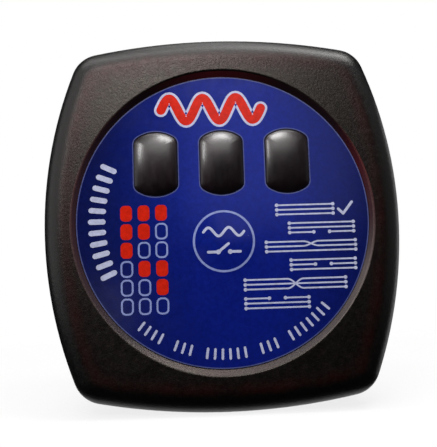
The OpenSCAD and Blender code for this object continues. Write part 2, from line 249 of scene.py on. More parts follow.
class Shell:
    """The points and faces of one closed mesh, put together from matching loops."""

    def __init__(self):
        self.points = []
        self.faces = []

    def loop(self, ring, out):
        """Adds a ring of points at one height above the rear face, or one height each."""
        first = len(self.points)
        self.points += [world(x, up, o) for (x, up), o in zip(ring, np.broadcast_to(out, len(ring)))]
        return list(range(first, len(self.points)))

    def outline(self, inset, out):
        """Adds the case's outline, moved inwards, at one height."""
        return self.loop(case_outline(inset), out)

    def bridge(self, *loops):
        """Joins each loop to the next with a band of faces."""
        for a, b in zip(loops, loops[1:]):
            a_next, b_next = a[1:] + a[:1], b[1:] + b[:1]
            self.faces += list(zip(a, a_next, b_next, b))

    def cap(self, outer, *holes):
        """Fills the flat region inside the outer loop and outside the holes."""
        loops = (outer, *holes)
        used = [i for loop in loops for i in loop]
        flat = np.array([(self.points[i].x, self.points[i].z) for i in used]) / MM
        edges, rings, first = [], [], 0
        for loop in loops:
            places = range(first, first + len(loop))
            edges += list(zip(places, [*places[1:], first]))
            rings.append(flat[first:first + len(loop)])
            first += len(loop)
        _, _, triangles, origin, _, _ = delaunay_2d_cdt([Vector(p) for p in flat], edges, [], 0, 1e-6, True)
        corners = np.array([[origin[v][0] for v in t] for t in triangles])
        middles = flat[corners].mean(1)
        keep = inside(middles, rings[0])
        for ring in rings[1:]:
            keep &= ~inside(middles, ring)
        self.faces += [tuple(used[v] for v in t) for t in corners[keep]]

    def tube(self, x, up, radius, *outs):
        """A round wall through the given heights. Returns its loops."""
        loops = [self.loop(circle(x, up, radius), out) for out in outs]
        self.bridge(*loops)
        return loops


def make_piece(name, shell, materials, node, crease=35):
    """Turns a shell into a piece of the object that rides on the housing and replaces a CAD node."""
    mesh = bpy.data.meshes.new(name)
    mesh.from_pydata(shell.points, [], shell.faces)
    work = bmesh.new()
    work.from_mesh(mesh)
    bmesh.ops.remove_doubles(work, verts=work.verts, dist=1e-8)
    bmesh.ops.recalc_face_normals(work, faces=work.faces)
    work.to_mesh(mesh)
    work.free()
    mesh.polygons.foreach_set("use_smooth", [True] * len(mesh.polygons))
    mesh.set_sharp_from_angle(angle=math.radians(crease))
    for material in materials:
        mesh.materials.append(material)
    piece = bpy.data.objects.new(name, mesh)
    bpy.context.collection.objects.link(piece)
    weigh = piece.modifiers.new("flat_faces_first", "WEIGHTED_NORMAL")
    weigh.keep_sharp = True
    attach(piece, "housing")
    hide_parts(node)
    return piece


SCREW_HEAD_R = {case_screws: 2.75, board_screws: 2.0}


def corners_of(span):
    """The centres of the four round screws in a node that holds one at each corner."""
    across = span.wide / 2 - SCREW_HEAD_R[span]
    along = span.tall / 2 - SCREW_HEAD_R[span]
    return [(i * across, j * along) for i in (-1, 1) for j in (-1, 1)]


# ---- covers, windows and snap dome ----

def front_cover(material):
    """The front half of the case: rounded outside, hollow behind, with bosses for both sets of screws."""
    shell = Shell()
    outline = shell.outline
    side = [outline(SIDE_DRAFT + EASE, front.back), outline(SIDE_DRAFT, front.back + EASE)]
    widest = front.front - FRONT_ROUND
    for share in (0.33, 0.67):
        side.append(outline(SIDE_DRAFT * (1 - share), front.back + (widest - front.back) * share))
    for turn in np.radians(np.linspace(0, 90, 15)):
        side.append(outline(FRONT_ROUND * (1 - math.cos(turn)), widest + FRONT_ROUND * math.sin(turn)))

    # The flat face runs in to the recess, whose rim is rounded and whose wall slopes at 45 degrees
    flat_edge = case_outline(FRONT_ROUND + GUARD)
    round_edge = flat_edge / np.linalg.norm(flat_edge, axis=1)[:, None]
    rim = RECESS_R + RIM_ROUND * math.tan(math.radians(22.5))
    side.append(shell.loop(flat_edge, front.front))
    side.append(shell.loop((flat_edge + round_edge * rim) / 2, front.front))
    recess = [(rim + GUARD, front.front)]
    for turn in np.radians(np.linspace(0, 45, 7)):
        recess.append((rim - RIM_ROUND * math.sin(turn), front.front - RIM_ROUND * (1 - math.cos(turn))))
    side += [shell.loop(round_edge * RIM_STRETCH * radius, out) for radius, out in recess]
    foot = [(recess_floor_r + EASE * 0.5, film.back + EASE), (recess_floor_r, film.back)]
    side += [shell.loop(round_edge * radius, out) for radius, out in foot]
    shell.bridge(*side)

    inner_wall = [outline(WALL, CEILING), outline(WALL, front.back)]
    shell.bridge(side[0], inner_wall[1], inner_wall[0])

    ends = (film.back, CEILING)
    holes = [[shell.loop(window() + (lens.x, lens.up), out) for out in ends] for lens in lenses]
    button_r = PILLOW_R - 0.25
    holes.append([shell.loop(circle(button.x, button.up, button_r), out) for out in ends])
    for upper, lower in holes:
        shell.bridge(upper, lower)

    # Bosses for the screws, whose pilot holes run on a little beyond the screws' tips
    feet = []
    bosses = [(p, BOSS_R, front.back, PILOT_R, case_screws.front + 2) for p in corners_of(case_screws)]
    bosses += [(p, STANDOFF_R, board.front, SMALL_PILOT_R, board_screws.front + 1)
               for p in corners_of(board_screws)]
    for (x, up), radius, end, pilot_r, pilot_end in bosses:
        top, bottom = shell.tube(x, up, radius, CEILING, end)
        mouth, blind = shell.tube(x, up, pilot_r, end, pilot_end)
        shell.bridge(bottom, mouth)
        shell.cap(blind)
        feet.append(top)
    shell.cap(side[-1], *(upper for upper, _ in holes))
    shell.cap(inner_wall[0], *(lower for _, lower in holes), *feet)
    return make_piece("front_shell", shell, [material], "front_cover")


def pin_openings():
    """The outlines of the rear cover's openings for the pins, which clear them by a hair."""
    openings = []
    for node in ("line_pin_sleeve", "neutral_pin_sleeve"):
        pin = Span(node)
        openings.append(rectangle(pin.wide + 2 * PIN_GAP, pin.tall + 2 * PIN_GAP) + (pin.x, pin.up))
    # The earth pin's box takes in its shoulder inside the case
    shoulder_margin = 1
    earth = Span("earth_pin")
    size = earth.wide - 2 * shoulder_margin + 2 * PIN_GAP, earth.tall - 2 * shoulder_margin + 2 * PIN_GAP
    openings.append(rectangle(*size) + (earth.x, earth.up))
    return openings


def rear_cover(material):
    """The rear half of the case: its lip, screw columns, pin openings and the pin plate's two posts."""
    shell = Shell()
    outline = shell.outline
    parting = front.back
    side = []
    for turn in np.radians(np.linspace(0, 90, 11)):
        inset = REAR_DRAFT + REAR_ROUND * (1 - math.sin(turn))
        side.append(outline(inset, REAR_ROUND * (1 - math.cos(turn))))
    side_top = SIDE_DRAFT + 0.1
    side += [
        outline(side_top, parting - EASE), outline(side_top + EASE, parting), outline(LIP_INSET, parting),
        outline(LIP_INSET, rear.front - EASE), outline(LIP_INSET + EASE, rear.front),
        outline(LIP_INSET + LIP_WALL, rear.front), outline(LIP_INSET + LIP_WALL, FLOOR),
    ]
    shell.bridge(*side)

    floor_holes, face_holes = [], []
    column_top = parting - 0.05
    for x, up in corners_of(case_screws):
        chamfer = shell.loop(circle(x, up, COUNTERBORE_R + EASE), 0)
        recess = shell.tube(x, up, COUNTERBORE_R, EASE, HEAD_SEAT)
        bore = shell.tube(x, up, CLEARANCE_R, HEAD_SEAT, column_top)
        column = shell.tube(x, up, COLUMN_R, column_top, FLOOR)
        shell.bridge(chamfer, recess[0])
        shell.bridge(recess[1], bore[0])
        shell.bridge(bore[1], column[0])
        face_holes.append(chamfer)
        floor_holes.append(column[1])
    for opening in pin_openings():
        outer, inner = shell.loop(opening, 0), shell.loop(opening, FLOOR)
        shell.bridge(outer, inner)
        face_holes.append(outer)
        floor_holes.append(inner)
    screw_head_h = 1.4
    plate_and_gap = 2.02
    post_top = retainer_screws.front - screw_head_h - plate_and_gap
    head_r = retainer_screws.wide / 2
    for up in (retainer_screws.top - head_r, retainer_screws.bottom + head_r):
        foot, top = shell.tube(0, up, POST_R, FLOOR, post_top)
        mouth, blind = shell.tube(0, up, SMALL_PILOT_R, post_top, FLOOR / 2)
        shell.bridge(top, mouth)
        shell.cap(blind)
        floor_holes.append(foot)
    shell.cap(side[0], *face_holes)
    shell.cap(side[-1], *floor_holes)
    return make_piece("rear_shell", shell, [material], "rear_cover")


def lens_window(node, material):
    """A pillow-shaped window over a flange: crowned, and rounded down to the film all the way round."""
    lens = Span(node)
    shell = Shell()
    place = (lens.x, lens.up)
    crown_x, crown_up = 22, 19
    flange_front = lens.back + LENS_FLANGE_T - 0.02
    edge = film_top - 0.15
    half_w = WINDOW_W / 2 - LENS_GAP

    def crown(ring):
        """How far the crown falls away towards points of a ring."""
        return ring[:, 0]**2 / (2 * crown_x) + ring[:, 1]**2 / (2 * crown_up)

    drop = lens.front - edge - crown(window(LENS_GAP)).max()

    def height(ring, inset):
        """The front's height above the rear face at points a given distance in from the edge."""
        ease = max(1 - inset / LENS_ROUND, 0)
        return lens.front - crown(ring) - drop * (1 - math.sqrt(1 - ease**2))

    def flange(out, inset=0.0):
        return shell.loop(barrel(lens.wide, lens.tall, 60, 0.6, inset) + place, out)

    bevel = 0.1
    base = [flange(lens.back, bevel), flange(lens.back + bevel)]
    base += [flange(flange_front - bevel), flange(flange_front, bevel)]
    base.append(shell.loop(window(LENS_GAP) + place, flange_front))
    rings = []
    for turn in np.radians(np.linspace(0, 90, 13)):
        inset = LENS_ROUND * (1 - math.cos(turn))
        rings.append((window(LENS_GAP + inset), inset))
    for inset in np.linspace(LENS_ROUND, half_w - 0.05, 5)[1:]:
        rings.append((window(LENS_GAP + inset), inset))
    loops = [shell.loop(ring + place, height(ring, inset)) for ring, inset in rings]
    shell.bridge(*base, *loops)
    shell.cap(base[0])
    shell.cap(loops[-1])
    return make_piece(node.replace("lens", "window"), shell, [material], node, crease=50)


def snap_dome(material):
    """The spring disc under the switch's stem."""
    rise = dome.front - dome.back
    rim = dome.wide / 2
    ball = (rim**2 + rise**2) / (2 * rise)
    inner_ball = ball - DOME_T
    inner_rim = math.sqrt(inner_ball**2 - (ball - rise)**2)
    shell = Shell()
    centre = dome.front - ball

    def skin(reach, ball_r):
        """Loops over one side of the sheet, from its rim to close to its middle."""
        radii = np.linspace(reach, reach / 8, 8)
        outs = centre + np.sqrt(ball_r**2 - radii**2)
        return [shell.loop(circle(dome.x, dome.up, r), out) for r, out in zip(radii, outs)]

    outer, inner = skin(rim, ball), skin(inner_rim, inner_ball)
    shell.bridge(*inner[::-1], *outer)
    shell.cap(outer[-1])
    shell.cap(inner[-1])
    piece = make_piece("switch_snap_dome", shell, [material], "snap_dome")
    world(0, 0, dome.back)
    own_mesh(piece)


# ---- the printed film ----

BLUE, WHITE, RED, PALE, EDGE = range(5)
# Rows of the legend, from the top: which windows are lit, the wiring's state, and the wires' two ends
LEGEND = (
    ((1, 1, 1), "good", 10.1, 24.3),
    ((1, 1, 0), "open 2", 12.35, 24.4),
    ((1, 0, 0), "swap 0 1", 7.9, 24.6),
    ((0, 1, 1), "open 1", 12.4, 24.4),
    ((0, 0, 1), "swap 0 2", 3.7, 22.4),
    ((0, 0, 0), "open 0", 3.7, 15.4),
)
LEGEND_TOP = 1.6
LEGEND_PITCH = 3.45
CELL_X = (-18.1, -14.85, -11.6)
# A lit lamp is a filled cell and an unlit one is an outline: width, height and corner
LIT_CELL = (2.2, 2.95, 0.8)
UNLIT_CELL = (2.35, 3.1, 0.95)
CELL_STROKE = 0.33
WIRE_W = 0.3
WIRE_GAP = 0.88
KNOB_R = 0.34
EDGE_W = 0.2


def line(x0, up0, x1, up1, width):
    return ribbon([(x0, up0), (x1, up1)], width)


def wiring_marks(kind, left, right, up):
    """Three wires side by side: unbroken, one of them broken, or two of them crossed."""
    word, *numbers = kind.split()
    numbers = [int(n) for n in numbers]
    levels = [up + WIRE_GAP, up, up - WIRE_GAP]
    middle, reach = (left + right) / 2, 1.5
    marks = []
    if word == "good":
        tick = right - 2.6
        marks.append(line(tick, up - 0.1, tick + 0.9, up - 1, 0.5))
        marks.append(line(tick + 0.9, up - 1, right, up + 1.15, 0.5))
        right = tick - 1
    for number, level in enumerate(levels):
        if word == "good" or number not in numbers:
            marks.append(line(left, level, right, level, WIRE_W))
        elif word == "open":
            marks.append(line(left, level, middle - reach, level, WIRE_W))
            marks.append(line(middle + reach, level, right, level, WIRE_W))
            marks += [circle(middle + side * reach, level, KNOB_R, 16) for side in (-1, 1)]
        else:
            other = levels[numbers[1 - numbers.index(number)]]
            share = np.linspace(0, 1, 13)
            swing = (1 - np.cos(share * math.pi)) / 2
            bend = np.column_stack((middle + reach * (2 * share - 1), level + (other - level) * swing))
            marks.append(ribbon(np.vstack(([(left, level)], bend, [(right, other)])), WIRE_W))
        marks += [circle(x, level, KNOB_R, 16) for x in (left, right)]
    return marks


def mains_wave():
    """A sine wave of three periods, as a path."""
    share = np.linspace(0, 1, 109)
    left, right, low, high, margin = -12.5, 9.1, 17.7, 24.7, 1.3
    x = left + margin + share * (right - left - 2 * margin)
    swing = (high - low) / 2 - margin
    return np.column_stack((x, (low + high) / 2 + swing * np.sin(share * 6 * math.pi)))


def radial_bars(angles, inner, outer, width):
    """Round-ended bars that point at the panel's centre."""
    bars = []
    for angle in np.radians(angles):
        way = np.array((math.cos(angle), math.sin(angle)))
        bars.append(ribbon([way * (inner + width / 2), way * (outer - width / 2)], width))
    return bars


def scale_angles():
    """Fine ticks along the bottom of the panel, in groups."""
    start, end, skip = -129, -42, 2.2
    groups = (4, 3, 6, 3, 7)
    places, place = [], 0
    for count in groups:
        places += [place + i for i in range(count)]
        place += count - 1 + skip
    places = np.array(places)
    return start + (end - start) * places / places[-1]


def push_marks():
    """A pulse above an open contact, inside the ring printed over the button."""
    share = np.linspace(0, 1, 37)
    wave_w, wave_h, stroke = 7.6, 0.8, 0.5
    wave = np.column_stack((
        button.x + wave_w * (share - 0.5), ring_up + 1.75 + wave_h * np.sin(share * 4 * math.pi)))
    up, end, contact = ring_up - 2.0, 3, 1.1
    return [
        ribbon(wave, stroke),
        line(button.x - end, up, button.x - contact, up, stroke),
        line(button.x + contact, up, button.x + end, up, stroke),
        line(button.x - contact, up, button.x + contact * 0.75, up + 1.5, stroke),
        circle(button.x - contact, up, 0.45, 16),
        circle(button.x + contact, up, 0.45, 16),
    ]


def cell(x, up, size, inset=0.0):
    width, height, corner = size
    return rectangle(width - 2 * inset, height - 2 * inset, corner - inset, 6) + (x, up)


def prints():
    """Everything printed on the film, as (outline, ink), each over the ones before it."""
    marks = [(circle(0, 0, film.right, 192), EDGE), (circle(0, 0, film.right - EDGE_W, 192), BLUE)]
    marks += [(window(-EDGE_W) + (lens.x, lens.up), EDGE) for lens in lenses]
    wave = mains_wave()
    wave_w, border = 1.75, 0.425
    marks += [(ribbon(wave, wave_w + 2 * border, 12), WHITE), (ribbon(wave, wave_w, 12), RED)]
    for row, (lit, wiring, left, right) in enumerate(LEGEND):
        up = LEGEND_TOP - LEGEND_PITCH * row
        for x, on in zip(CELL_X, lit):
            if on:
                marks.append((cell(x, up, LIT_CELL), RED))
            else:
                marks += [(cell(x, up, UNLIT_CELL), PALE), (cell(x, up, UNLIT_CELL, CELL_STROKE), BLUE)]
        marks += [(mark, WHITE) for mark in wiring_marks(wiring, left, right, up - 0.1)]
    ring_w = 0.4
    for radius, colour in ((PILLOW_R - ring_w, PALE), (PILLOW_R - ring_w * 2, BLUE)):
        marks.append((circle(button.x, ring_up, radius, 96), colour))
    marks += [(mark, WHITE) for mark in push_marks()]
    bars = radial_bars(np.linspace(154.5, 204.5, 11), inner=21.9, outer=25.2, width=1.0)
    bars += radial_bars(scale_angles(), inner=23.7, outer=25.8, width=0.46)
    marks += [(bar, WHITE) for bar in bars]
    return marks


def pillow_height(points):
    """How far the film swells over the button, above its flat level."""
    away = np.linalg.norm(points - (button.x, button.up), axis=1) / PILLOW_R
    return pillow_h * np.clip(1 - away**2, 0, 1)**1.25


def printed_film(inks):
    """The film as one closed sheet, its front face divided along every printed edge."""
    marks = prints()
    cut_outs = [window() + (lens.x, lens.up) for lens in lenses]
    rings = [outline for outline, _ in marks] + cut_outs
    rings += [circle(button.x, button.up, r) for r in np.linspace(PILLOW_R, 0.4, 12)]
    points, edges = [], []
    for ring in rings:
        first = len(points)
        points += [Vector(p) for p in ring]
        edges += [(first + i, first + (i + 1) % len(ring)) for i in range(len(ring))]
    flat, _, triangles, _, _, _ = delaunay_2d_cdt(points, edges, [], 0, 1e-5, True)
    flat = np.array(flat)
    triangles = np.array(triangles)
    middles = flat[triangles].mean(1)
    keep = inside(middles, rings[0])
    for ring in cut_outs:
        keep &= ~inside(middles, ring)
    triangles, middles = triangles[keep], middles[keep]
    ink = np.zeros(len(triangles), int)
    for outline, colour in marks:
        near = (np.abs(middles - outline.mean(0)) < np.abs(outline - outline.mean(0)).max(0)).all(1)
        ink[np.flatnonzero(near)[inside(middles[near], outline)]] = colour

    shell = Shell()
    rise = pillow_height(flat)
    count = len(flat)
    shell.loop(flat, film_top + rise)
    shell.loop(flat, film.back + rise)
    shell.faces = [tuple(t) for t in triangles] + [tuple(t[::-1] + count) for t in triangles]
    # A side that only one triangle has is part of the sheet's edge
    sides = dict.fromkeys((a, b) for t in triangles for a, b in zip(t, np.roll(t, -1)))
    shell.faces += [(a + count, b + count, b, a) for a, b in sides if (b, a) not in sides]
    piece = make_piece("panel_film", shell, inks, "label_overlay")
    colours = np.full(len(piece.data.polygons), EDGE)
    colours[:len(triangles)] = ink
    piece.data.polygons.foreach_set("material_index", colours.astype(np.int32))
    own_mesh(piece)
    return piece


# ---- materials ----

class Look:
    """A procedural material. Every size in it is in millimetres of the object."""

    def __init__(self, name, **values):
        self.material = bpy.data.materials.new(name)
        self.material.use_nodes = True
        self.tree = self.material.node_tree
        self.shader = self.tree.nodes["Principled BSDF"]
        self.place = self.add("ShaderNodeVectorMath", operation="SCALE")
        self.link(self.add("ShaderNodeTexCoord").outputs["Object"], self.place.inputs[0])
        self.place.inputs["Scale"].default_value = 1 / MM
        for key, value in values.items():
            self.set(key, value)

    def add(self, kind, **settings):
        node = self.tree.nodes.new(kind)
        for key, value in settings.items():
            setattr(node, key, value)
        return node

    def link(self, start, end):
        self.tree.links.new(start, end)

    def feed(self, socket, value):
        """Puts a number, a colour or another node's output into an input."""
        if isinstance(value, bpy.types.NodeSocket):
            self.link(value, socket)
        elif isinstance(value, (tuple, list)) and len(value) == 3 and socket.type == "RGBA":
            socket.default_value = (*value, 1)
        else:
            socket.default_value = value

    def set(self, key, value):
        """Sets an input of the shader, such as base_color, from a value or another node's output."""
        names = {"base_color": "Base Color", "ior": "IOR", "specular": "Specular IOR Level"}
        self.feed(self.shader.inputs[names.get(key, key.replace("_", " ").title())], value)

    def where(self, stretch=(1, 1, 1)):
        """The place on the object, stretched along its axes."""
        if stretch == (1, 1, 1):
            return self.place.outputs[0]
        node = self.add("ShaderNodeVectorMath", operation="MULTIPLY")
        self.link(self.place.outputs[0], node.inputs[0])
        node.inputs[1].default_value = stretch
        return node.outputs[0]

    def noise(self, size, detail, stretch=(1, 1, 1), roughness=0.5):
        """Soft random variation from 0 to 1, with features of about the given size."""
        node = self.add("ShaderNodeTexNoise")
        self.link(self.where(stretch), node.inputs["Vector"])
        node.inputs["Scale"].default_value = 1 / size
        node.inputs["Detail"].default_value = detail
        node.inputs["Roughness"].default_value = roughness
        return node.outputs["Fac"]

    def specks(self, spacing, size, share):
        """Sparse round specks, 1 inside and 0 outside; share is how many of the places hold one."""
        node = self.add("ShaderNodeTexVoronoi")
        self.link(self.where(), node.inputs["Vector"])
        node.inputs["Scale"].default_value = 1 / spacing
        hit = self.math("LESS_THAN", node.outputs["Distance"], size / spacing)
        split = self.add("ShaderNodeSeparateColor")
        self.link(node.outputs["Color"], split.inputs[0])
        return self.math("MULTIPLY", hit, self.math("LESS_THAN", split.outputs[0], share))

    def math(self, operation, a, b=0.0):
        node = self.add("ShaderNodeMath", operation=operation)
        self.feed(node.inputs[0], a)
        self.feed(node.inputs[1], b)
        return node.outputs[0]

    def distance(self, a, b):
        """The length of a step of a and b at right angles."""
        return self.math("SQRT", self.math("ADD", self.math("MULTIPLY", a, a), self.math("MULTIPLY", b, b)))

    def axes(self):
        """The place's x, y and z."""
        node = self.add("ShaderNodeSeparateXYZ")
        self.link(self.place.outputs[0], node.inputs[0])
        return node.outputs

    def ramp(self, factor, *stops):
        """A colour or a grey value that changes with factor; each stop is (position, value)."""
        node = self.add("ShaderNodeValToRGB")
        self.link(factor, node.inputs[0])
        elements = node.color_ramp.elements
        while len(elements) < len(stops):
            elements.new(0.5)
        for element, (position, value) in zip(elements, stops):
            element.position = position
            element.color = (*value, 1) if isinstance(value, tuple) else (value, value, value, 1)
        return node.outputs["Color"]

    def mix(self, factor, a, b):
        """Goes from colour a to colour b. The node's colour inputs are numbers 6 and 7."""
        node = self.add("ShaderNodeMix", data_type="RGBA")
        self.feed(node.inputs["Factor"], factor)
        for place, value in ((6, a), (7, b)):
            self.feed(node.inputs[place], value)
        return node.outputs[2]

    def tinted(self, a, b):
        """Two colours multiplied."""
        node = self.add("ShaderNodeVectorMath", operation="MULTIPLY")
        self.link(a, node.inputs[0])
        self.link(b, node.inputs[1])
        return node.outputs[0]

    def sheen(self, noise, low, high):
        """Lets the roughness wander between two values."""
        self.set("roughness", self.ramp(noise, (0.3, low), (0.7, high)))

    def bump(self, height, depth, strength):
        """Raises the surface by depth millimetres where height is 1, on top of the bumps before it."""
        node = self.add("ShaderNodeBump")
        self.feed(node.inputs["Height"], height)
        node.inputs["Distance"].default_value = depth * MM
        node.inputs["Strength"].default_value = strength
        last = self.shader.inputs["Normal"]
        if last.links:
            self.link(last.links[0].from_socket, node.inputs["Normal"])
        self.link(node.outputs[0], last)


def case_plastic(name, dark):
    """Smoky moulded plastic with a fine spark-eroded grain."""
    look = Look(name, specular=0.5)
    mottle = look.ramp(look.noise(0.8, 3, roughness=0.75), (0.32, 0.0), (0.68, 1.0))
    grain = look.mix(mottle, dark, tuple(c * 2.5 for c in dark))
    dust = look.specks(9, 0.16, 0.3)
    look.set("base_color", look.mix(look.math("MULTIPLY", dust, 0.6), grain, (0.2, 0.19, 0.18)))
    look.set("roughness", look.ramp(mottle, (0.0, 0.32), (1.0, 0.42)))
    look.bump(look.noise(0.5, 3, roughness=0.7), 0.055, 0.8)
    look.bump(look.noise(14, 1), 0.12, 0.25)
    return look


def edge_distance(look, x, up):
    """How far in from the case's outline a place on the front is, a little uneven, as a share of 12 mm."""
    reach = []
    for across, along, big, half in ((x, up, SIDE_ARC, front.right), (up, x, END_ARC, front.top)):
        centred = look.math("ADD", look.math("ABSOLUTE", across), big - half)
        reach.append(look.math("SUBTRACT", big, look.distance(centred, along)))
    least = look.add("ShaderNodeMath", operation="SMOOTH_MIN")
    look.feed(least.inputs[0], reach[0])
    look.feed(least.inputs[1], reach[1])
    least.inputs[2].default_value = 4
    inset = look.math("ADD", least.outputs[0], look.math("MULTIPLY", look.noise(3, 3), 1.5))
    return look.math("DIVIDE", inset, 12)


def recess_wall_painted_light(look, x, up):
    """The recess wall's colour, round from the left by the bottom, the right and the top.

    All of it is painted light and shade. Light carried through the plastic is painted red at the top and the
    sides, the lit lower right is a pale painted highlight, and the black stretches are painted shade."""
    # Painted light and shade: red glows for light through the plastic, a pale painted highlight at the lower
    # right, and black for painted shade
    painted_glow, painted_red_glow, painted_highlight = (0.075, 0.007, 0.009), (0.050, 0.021, 0.024), (0.105, 0.085, 0.08)
    grey, black = (0.030, 0.024, 0.027), (0.012, 0.004, 0.004)
    around = look.math("DIVIDE", look.math("ARCTAN2", up, x), 2 * math.pi)
    around = look.math("ADD", around, 0.5)
    return look.ramp(
        around, (0.0, painted_red_glow), (0.14, grey), (0.22, black), (0.33, grey), (0.44, painted_highlight), (0.5, painted_red_glow),
        (0.56, painted_glow), (0.61, black), (0.68, black), (0.76, painted_glow), (0.83, black), (0.95, painted_red_glow))


def front_plastic():
    """The front cover's plastic: neutral on its rounded edge, with a painted red glow of light carried
    through the plastic just inside that, then brownish.
    """
    look = case_plastic("front_case", (0.0009, 0.0006, 0.0005))
    x, _, up = look.axes()
    depth = edge_distance(look, x, up)
    tone = look.ramp(depth, (0.30, (1.0, 0.97, 0.98)), (0.43, (1.0, 0.79, 0.78)),
                     (0.54, (1.0, 0.81, 0.79)), (0.76, (1.0, 0.87, 0.80)))
    clouds = look.noise(1.3, 3, roughness=0.6)
    patches = look.ramp(clouds, (0.35, (0.90, 1.0, 0.92)), (0.65, (1.0, 0.92, 0.91)))
    look.set("specular_tint", look.mix(0.6, tone, look.tinted(tone, patches)))
    plain = look.shader.inputs["Base Color"].links[0].from_socket
    # A painted red glow, for light carried through the plastic, in an uneven band just inside the rounded
    # edge
    band = look.ramp(depth, (0.34, 0.0), (0.42, 1.0), (0.48, 1.0), (0.60, 0.0))
    uneven = look.ramp(look.noise(4, 3), (0.35, 0.3), (0.62, 1.0))
    body = look.mix(look.math("MULTIPLY", band, uneven), plain, (0.010, 0.0006, 0.0005))
    in_recess = look.math("LESS_THAN", look.distance(x, up), RECESS_R)
    # Inside the recess the wall's colour is painted light and shade
    look.set("base_color", look.mix(in_recess, body, recess_wall_painted_light(look, x, up)))
    return look.material


def drift(look, base, top, edge):
    """Turns a colour to a second one up the panel, a painted lightening as if lit from above, and deepens it
    to a third at the left and the right.
    """
    fade_h = 16
    centre_x = 2.5
    flatten = 0.4
    x, _, up = look.axes()
    height = look.math("ADD", look.math("DIVIDE", up, fade_h), 0.5)
    base = look.mix(look.ramp(height, (0.1, 0.0), (0.75, 1.0)), base, top)
    away = look.distance(look.math("SUBTRACT", x, centre_x), look.math("MULTIPLY", up, flatten))
    away = look.math("DIVIDE", away, film.right)
    return look.mix(look.ramp(away, (0.3, 0.0), (0.95, 1.0)), base, edge)


def ink(name, colour, shade, top=None, edge=None):
    """Screen-printed ink under a clear semi-gloss film: mottled, with dust and a soft orange peel."""
    look = Look(name, specular=0.5)
    cloud = look.ramp(look.noise(7, 4, roughness=0.6), (0.3, 0.0), (0.72, 1.0))
    fine = look.noise(0.5, 3, roughness=0.7)
    tone = look.math("ADD", look.math("MULTIPLY", cloud, 0.65), look.math("MULTIPLY", fine, 0.35))
    base = look.mix(tone, colour, shade)
    # Painted light: the colour turns lighter up the panel, as if lit from above
    if edge:
        base = drift(look, base, top, edge)
    base = look.tinted(base, look.ramp(look.noise(0.8, 3, roughness=0.7), (0.36, 0.80), (0.64, 1.0)))
    dust = look.specks(4.5, 0.09, 0.12)
    look.set("base_color", look.mix(look.math("MULTIPLY", dust, 0.55), base, (0.45, 0.48, 0.62)))
    look.sheen(look.noise(2.2, 3), 0.14, 0.2)
    look.bump(look.noise(1.6, 2), 0.008, 0.3)
    return look.material


def smoked_lens():
    """Polished smoked plastic with faint wipe marks and flow lines."""
    look = Look("smoked_lens", specular=0.5, specular_tint=(1.0, 0.95, 0.94))
    look.set("coat_weight", 0.5)
    look.set("coat_roughness", 0.25)
    smoke = look.ramp(look.noise(3.5, 2), (0.35, (0.003, 0.0008, 0.0018)), (0.7, (0.008, 0.002, 0.0045)))
    look.set("base_color", smoke)
    look.set("roughness", look.ramp(look.noise(0.9, 4, stretch=(1, 1, 0.35)), (0.3, 0.34), (0.75, 0.46)))
    look.bump(look.noise(0.5, 2), 0.004, 0.35)
    return look.material


def moulded(name, dark, light, roughness=0.5, size=0.3):
    """Plain moulded plastic: a grain, a slight sheen change, and a little colour drift."""
    look = Look(name)
    look.set("base_color", look.ramp(look.noise(2.5, 4), (0.3, dark), (0.7, light)))
    look.sheen(look.noise(size * 2, 3), roughness - 0.07, roughness + 0.08)
    look.bump(look.noise(size, 2, roughness=0.6), 0.02, 0.35)
    return look.material


def metal(name, dark, light, roughness, along=(1, 0.06, 1)):
    """Drawn or plated metal with fine lines along one axis and slightly dull patches."""
    look = Look(name, metallic=1.0)
    lines = look.noise(0.12, 3, stretch=along, roughness=0.65)
    patches = look.noise(2.5, 3)
    look.set("base_color", look.mix(look.ramp(patches, (0.35, 0.0), (0.7, 1.0)), dark, light))
    look.sheen(lines, roughness - 0.08, roughness + 0.12)
    look.bump(lines, 0.006, 0.5)
    return look.material


def circuit_laminate():
    """Green solder mask over copper tracks, which show as raised, lighter lines."""
    look = Look("board_green", specular=0.55)
    tracks = look.add("ShaderNodeTexBrick", offset=0.37, squash=1.6)
    turn = look.add("ShaderNodeCombineXYZ")
    x, _, up = look.axes()
    look.link(x, turn.inputs[0])
    look.link(up, turn.inputs[1])
    look.link(turn.outputs[0], tracks.inputs["Vector"])
    for key, value in {"Scale": 0.16, "Mortar Size": 0.045, "Mortar Smooth": 0.2, "Bias": 0.0}.items():
        tracks.inputs[key].default_value = value
    weave = look.noise(0.35, 2)
    mask = look.mix(weave, (0.012, 0.10, 0.035), (0.018, 0.14, 0.05))
    look.set("base_color", look.mix(tracks.outputs["Fac"], mask, (0.05, 0.27, 0.09)))
    look.sheen(weave, 0.28, 0.4)
    look.bump(tracks.outputs["Fac"], 0.035, 0.8)
    return look.material


def lamp_epoxy():
    """Clear red epoxy with a slight ripple."""
    look = Look("led_red", transmission_weight=0.85, ior=1.53)
    colour = look.ramp(look.noise(2, 2), (0.3, (0.72, 0.02, 0.015)), (0.7, (0.85, 0.05, 0.03)))
    look.set("base_color", colour)
    look.sheen(look.noise(0.8, 2), 0.04, 0.12)
    look.bump(look.noise(1.2, 1), 0.01, 0.3)
    return look.material


def insulation(name, colour, stripe=None):
    """Wire insulation; a stripe winds round it where the wire has a second colour."""
    look = Look(name)
    shade = look.ramp(look.noise(0.6, 3), (0.3, 0.0), (0.7, 1.0))
    base = look.mix(shade, tuple(c * 0.75 for c in colour), colour)
    if stripe:
        wave = look.add("ShaderNodeTexWave", bands_direction="DIAGONAL")
        look.link(look.where(), wave.inputs["Vector"])
        wave.inputs["Scale"].default_value = 0.16
        wave.inputs["Distortion"].default_value = 0.4
        base = look.mix(look.ramp(wave.outputs["Fac"], (0.62, 0.0), (0.68, 1.0)), base, stripe)
    look.set("base_color", base)
    look.sheen(look.noise(0.5, 2), 0.32, 0.45)
    look.bump(look.noise(0.4, 2), 0.01, 0.4)
    return look.material


